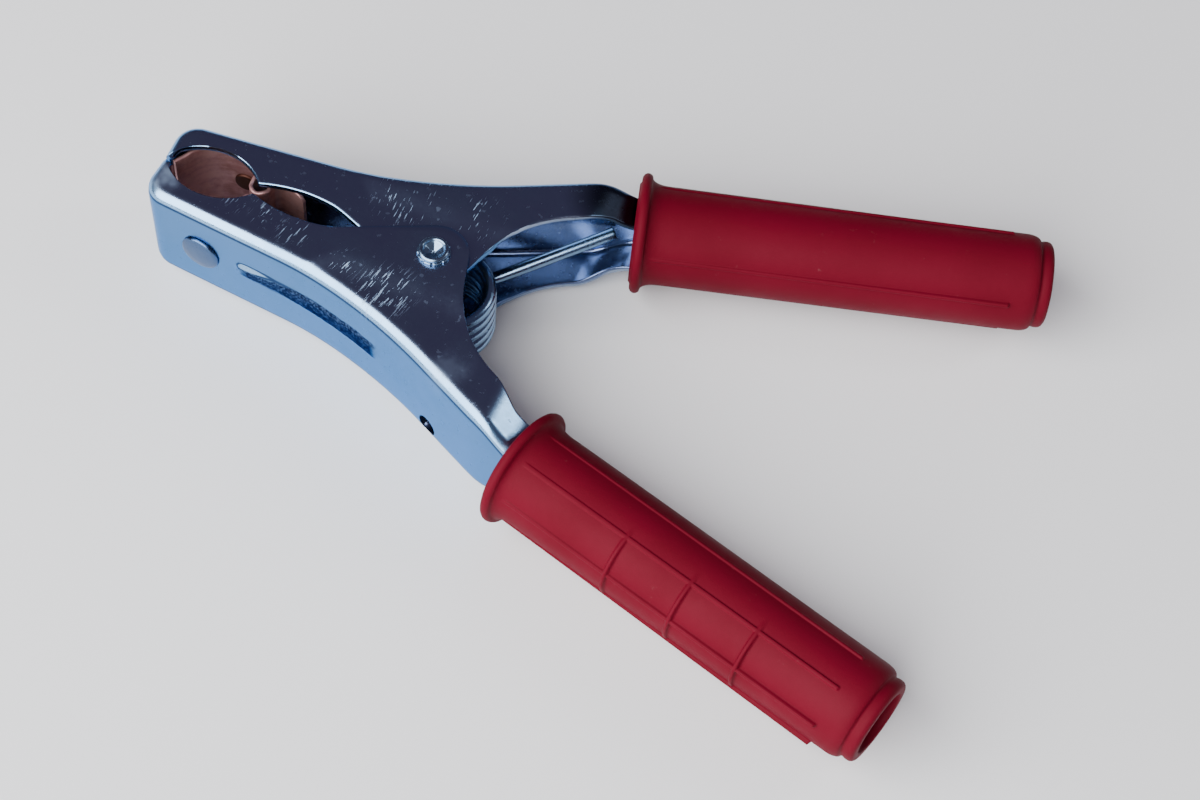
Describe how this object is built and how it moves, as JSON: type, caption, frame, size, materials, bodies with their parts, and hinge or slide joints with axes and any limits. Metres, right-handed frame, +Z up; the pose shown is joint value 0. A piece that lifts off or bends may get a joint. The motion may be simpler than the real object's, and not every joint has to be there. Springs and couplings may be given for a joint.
{
  "type": "ground clamp",
  "caption": "Spring-loaded welding ground clamp: two pressed steel channel arms on a rivet pivot, copper jaw contacts and moulded grip sleeves.",
  "frame": {"origin": "middle of the underside, as the clamp lies on its side with the jaws shut", "axes": "+X from the jaws towards the handles, +Z up along the pivot, the lower arm on -Y and the upper arm on +Y"},
  "size_m": [0.26, 0.183, 0.0426],
  "materials": {
    "zinc_steel": "bright zinc plated, handled and lightly scratched",
    "rivet_steel": "zinc plated, satin",
    "spring_steel": "bright zinc plated wire",
    "copper": "rolled copper, slightly tarnished",
    "grip_plastic": "moulded matt red plastic"
  },
  "bodies": {
    "lower": {"lower_arm": "zinc_steel", "lower_grip": "grip_plastic", "lower_contact": "copper", "lower_contact_rivet": "rivet_steel", "pivot_rivet": "rivet_steel", "pivot_washer": "rivet_steel", "torsion_spring": "spring_steel"},
    "upper": {"upper_arm": "zinc_steel", "upper_grip": "grip_plastic", "upper_contact": "copper", "upper_contact_rivet": "rivet_steel"}
  },
  "joints": [
    {"name": "jaw_pivot", "type": "hinge", "parent": "lower", "child": "upper", "pos_m": [-0.04135, 0, 0.02115], "axis": [0, 0, -1], "range_deg": [0, 40], "stiffness_Nm_per_rad": 4, "springref_deg": -34.38, "deforming": ["torsion_spring"]}
  ]
}
